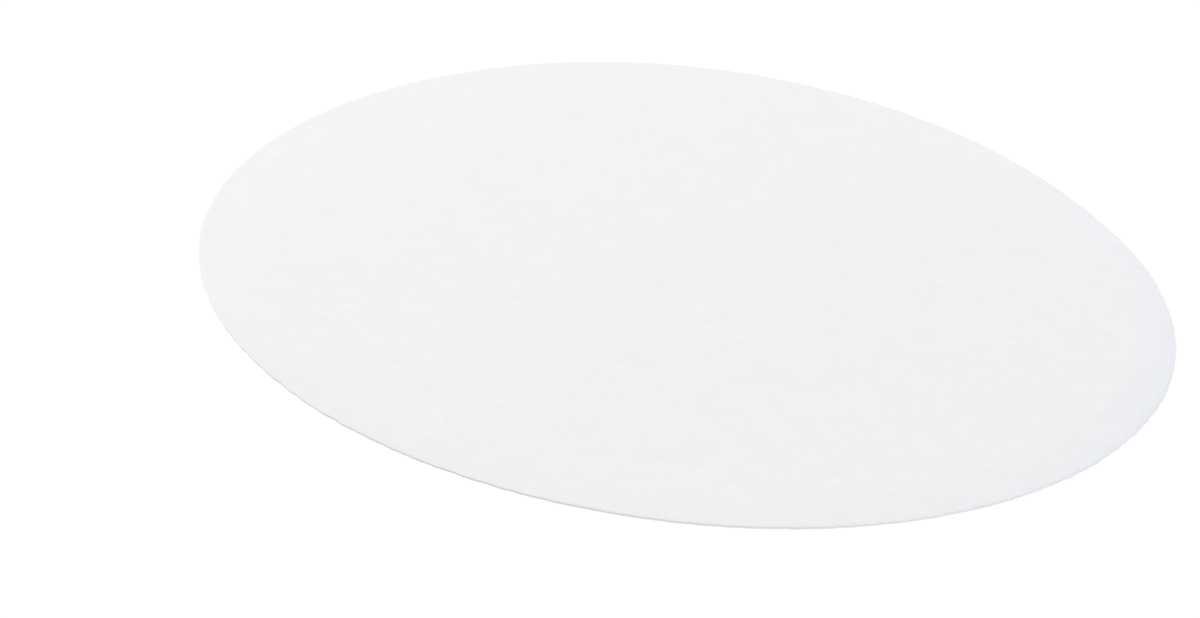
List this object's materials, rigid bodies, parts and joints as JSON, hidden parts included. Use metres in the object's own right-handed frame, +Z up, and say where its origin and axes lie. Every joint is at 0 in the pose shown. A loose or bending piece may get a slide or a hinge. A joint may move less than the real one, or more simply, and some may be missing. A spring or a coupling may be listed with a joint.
{
  "type": "filter paper disc",
  "caption": "Flat round disc of soft white cellulose filter paper with a clean die-cut edge, laid flat, for lining a laboratory funnel.",
  "frame": {"origin": "centre of the lower face, which lies on the surface below", "axes": "+Z up through the thickness of the paper, on the disc's own axis; X and Y lie in the plane of the sheet"},
  "size_m": [0.125, 0.125, 0.0002],
  "materials": {
    "filter_paper": "uncoated"
  },
  "bodies": {
    "root": {"paper_disc": "filter_paper"}
  },
  "joints": []
}
